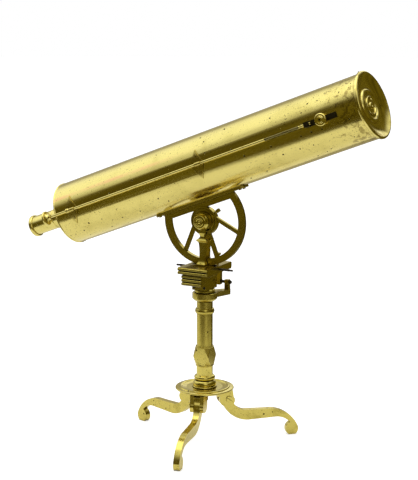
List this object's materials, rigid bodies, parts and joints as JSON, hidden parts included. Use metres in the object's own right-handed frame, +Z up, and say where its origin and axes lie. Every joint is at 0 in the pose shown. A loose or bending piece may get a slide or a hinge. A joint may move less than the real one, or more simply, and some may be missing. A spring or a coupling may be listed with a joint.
{
  "type": "reflecting telescope",
  "caption": "Brass reflecting telescope with side focusing rod and dust cap, on an altitude sector, pillar and three folding scroll legs.",
  "frame": {"origin": "on the floor under the middle of the whole object's box; the pillar axis is 20.38 mm along +X and 28.23 mm along +Y from it", "axes": "+Z up, +X the way the tube points seen from above, -Y the side of the focusing rod"},
  "size_m": [0.7981, 0.3352, 0.7671],
  "materials": {
    "polished_brass": "polished, lacquer worn, fine scratches",
    "satin_brass": "satin, handled",
    "dark_steel": "blackened steel",
    "spring_steel": "blued spring steel",
    "speculum": "polished speculum metal",
    "lens_glass": "clear crown glass"
  },
  "bodies": {
    "stand": {"upper_pillar": "satin_brass", "knop": "satin_brass", "lower_pillar": "satin_brass", "base_disc": "satin_brass", "base_nut": "satin_brass", "clevis_screws": "dark_steel", "leg_pins": "satin_brass", "leg_clevis_front": "satin_brass", "leg_clevis_right": "satin_brass", "leg_clevis_left": "satin_brass"},
    "front_leg": {"leg_front": "satin_brass"},
    "right_leg": {"leg_right": "satin_brass"},
    "left_leg": {"leg_left": "satin_brass"},
    "collar": {"azimuth_collar": "satin_brass", "collar_post": "satin_brass"},
    "tangent_screw": {"tangent_screw": "dark_steel"},
    "head": {"near_upright": "satin_brass", "far_upright": "satin_brass", "upright_screws": "satin_brass", "cornice_slab": "satin_brass", "head_body": "satin_brass", "reeded_box": "satin_brass", "body_screws": "dark_steel", "tangent_lug": "dark_steel", "azimuth_spindle": "satin_brass"},
    "pressure_screw": {"pressure_screw": "satin_brass"},
    "altitude_worm": {"altitude_worm": "dark_steel"},
    "tube": {"tube_barrel": "polished_brass", "rear_plate": "polished_brass", "eyepiece_flange": "polished_brass", "primary_mirror": "speculum", "mirror_cell": "polished_brass", "mirror_springs": "spring_steel", "baffle_tube": "polished_brass", "rear_rod_bracket": "polished_brass", "front_rod_bracket": "polished_brass", "bracket_screws": "polished_brass", "saddle_plate": "polished_brass", "saddle_screws": "dark_steel", "altitude_sector": "satin_brass", "trunnion_shaft": "dark_steel", "hub_screw": "satin_brass", "near_trunnion_cap": "satin_brass", "far_trunnion_cap": "satin_brass"},
    "eyepiece": {"eyepiece_barrel": "polished_brass", "eyepiece_cap": "polished_brass", "eye_lens": "lens_glass", "eye_lens_cell": "polished_brass", "field_lens": "lens_glass", "field_lens_cell": "polished_brass"},
    "focus_rod": {"focus_rod": "polished_brass", "focus_knob": "polished_brass"},
    "secondary_slide": {"secondary_mirror": "speculum", "secondary_cell": "polished_brass", "secondary_arm": "dark_steel", "slider_guide": "dark_steel", "slider_plate": "dark_steel", "slider_nut": "polished_brass"},
    "clamp_nut": {"clamp_nut": "polished_brass"},
    "dust_cap": {"front_cap": "polished_brass"}
  },
  "joints": [
    {"name": "azimuth", "type": "hinge", "parent": "stand", "child": "collar", "pos_m": [0.02038, 0.02823, 0.3], "axis": [0, 0, 1], "continuous": true},
    {"name": "fine_azimuth", "type": "hinge", "parent": "collar", "child": "head", "pos_m": [0.02038, 0.02823, 0.315], "axis": [0, 0, 1], "range_deg": [-4, 4]},
    {"name": "tangent_spin", "type": "hinge", "parent": "collar", "child": "tangent_screw", "pos_m": [0.04738, 0.07423, 0.326], "axis": [1, 0, 0], "range_deg": [-1160, 1160]},
    {"name": "altitude", "type": "hinge", "parent": "head", "child": "tube", "pos_m": [0.02038, 0.02823, 0.457], "axis": [0, -1, 0], "range_deg": [-35, 48]},
    {"name": "worm_spin", "type": "hinge", "parent": "head", "child": "altitude_worm", "pos_m": [0.02038, 0.02823, 0.361], "axis": [1, 0, 0], "range_deg": [-9100, 6700]},
    {"name": "pressure_screw_turn", "type": "hinge", "parent": "head", "child": "pressure_screw", "pos_m": [0.02838, 0.06823, 0.37], "axis": [0, 0, 1], "range_deg": [0, 360]},
    {"name": "focus_spin", "type": "hinge", "parent": "tube", "child": "focus_rod", "pos_m": [-0.01605, -0.04217, 0.55827], "axis": [0.9325, 0, 0.3611], "range_deg": [-2304, 2304]},
    {"name": "secondary_travel", "type": "slide", "parent": "tube", "child": "secondary_slide", "axis": [0.9325, 0, 0.3611], "range_m": [-0.00801, 0.00801]},
    {"name": "clamp_nut_turn", "type": "hinge", "parent": "secondary_slide", "child": "clamp_nut", "pos_m": [0.29823, -0.04118, 0.67992], "axis": [-0.0189, -0.9986, 0.0488], "range_deg": [0, 360]},
    {"name": "dust_cap_off", "type": "slide", "parent": "tube", "child": "dust_cap", "axis": [0.9325, 0, 0.3611], "range_m": [0, 0.06]},
    {"name": "eyepiece_out", "type": "slide", "parent": "tube", "child": "eyepiece", "axis": [-0.9325, 0, -0.3611], "range_m": [0, 0.03]},
    {"name": "front_leg_fold", "type": "hinge", "parent": "stand", "child": "front_leg", "pos_m": [0.03082, -0.01862, 0.088], "axis": [0.9761, 0.2175, 0], "range_deg": [0, 60]},
    {"name": "right_leg_fold", "type": "hinge", "parent": "stand", "child": "right_leg", "pos_m": [0.05573, 0.06069, 0.088], "axis": [-0.6764, 0.7366, 0], "range_deg": [0, 60]},
    {"name": "left_leg_fold", "type": "hinge", "parent": "stand", "child": "left_leg", "pos_m": [-0.02541, 0.04262, 0.088], "axis": [-0.2997, -0.954, 0], "range_deg": [0, 60]}
  ],
  "couplings": [
    {"joint": "worm_spin", "follows": "altitude", "ratio": -188.5},
    {"joint": "tangent_spin", "follows": "fine_azimuth", "ratio": 289.03},
    {"joint": "secondary_travel", "follows": "focus_spin", "m_per_rad": 0.00019894}
  ]
}
